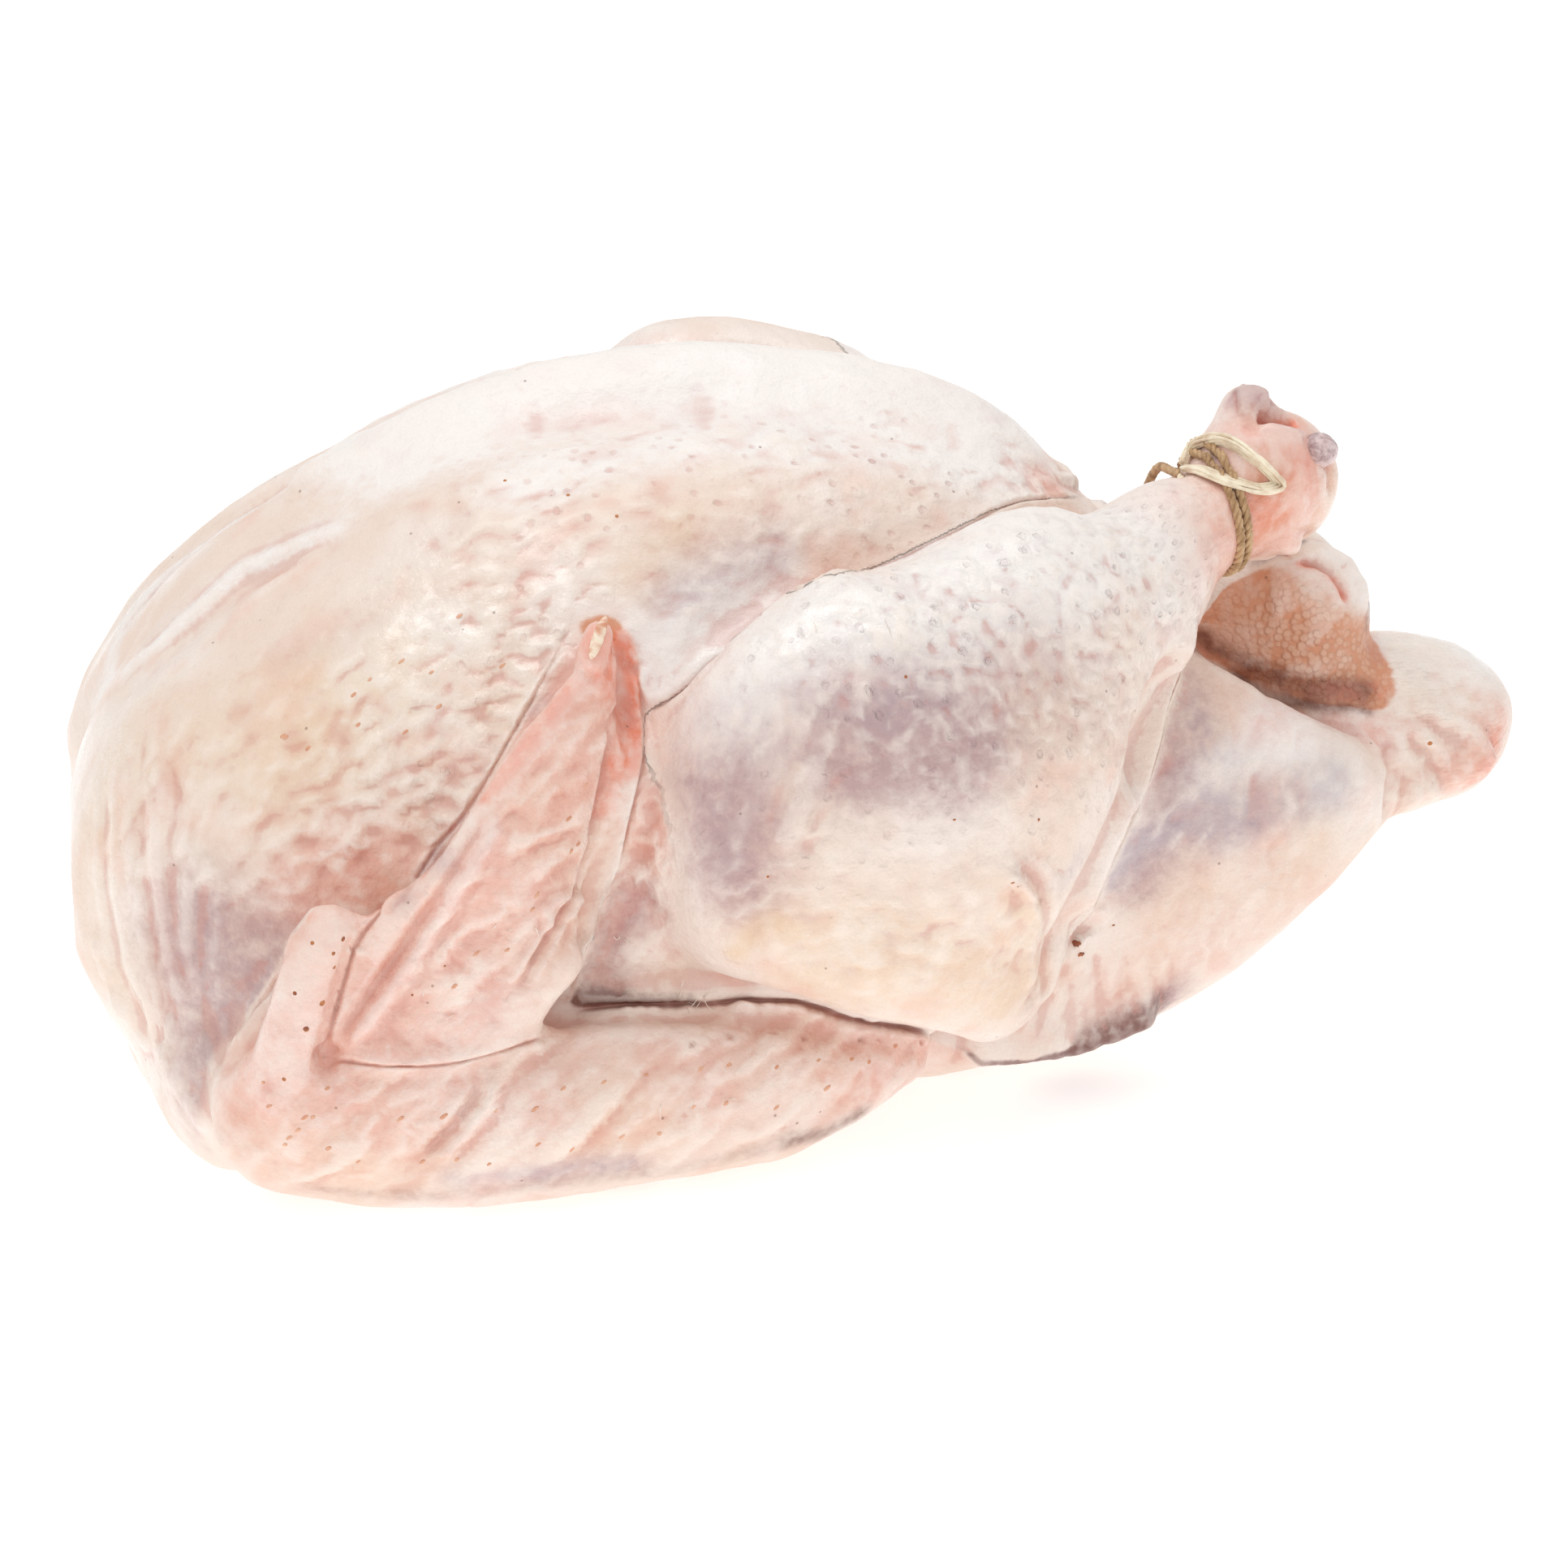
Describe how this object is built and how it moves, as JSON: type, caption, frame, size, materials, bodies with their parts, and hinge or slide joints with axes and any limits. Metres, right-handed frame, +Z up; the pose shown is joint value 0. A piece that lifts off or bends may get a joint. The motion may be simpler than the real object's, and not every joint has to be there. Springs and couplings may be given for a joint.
{
  "type": "whole raw turkey",
  "caption": "Whole raw turkey, plucked and dressed, lying on its back with wings folded and ankles tied with twine.",
  "frame": {"origin": "middle of the underside: centre of the bounding box in X and Y, on the table in Z", "axes": "+X from the neck end to the tail, +Z up through the breast, the near wing and leg at -Y"},
  "size_m": [0.3746, 0.243, 0.1832],
  "materials": {
    "bird": "moist raw skin, cream to pink, semi-gloss",
    "twine": "undyed cotton butcher's twine, matt"
  },
  "bodies": {
    "root": {"bird": "bird", "twine": "twine"}
  },
  "joints": []
}
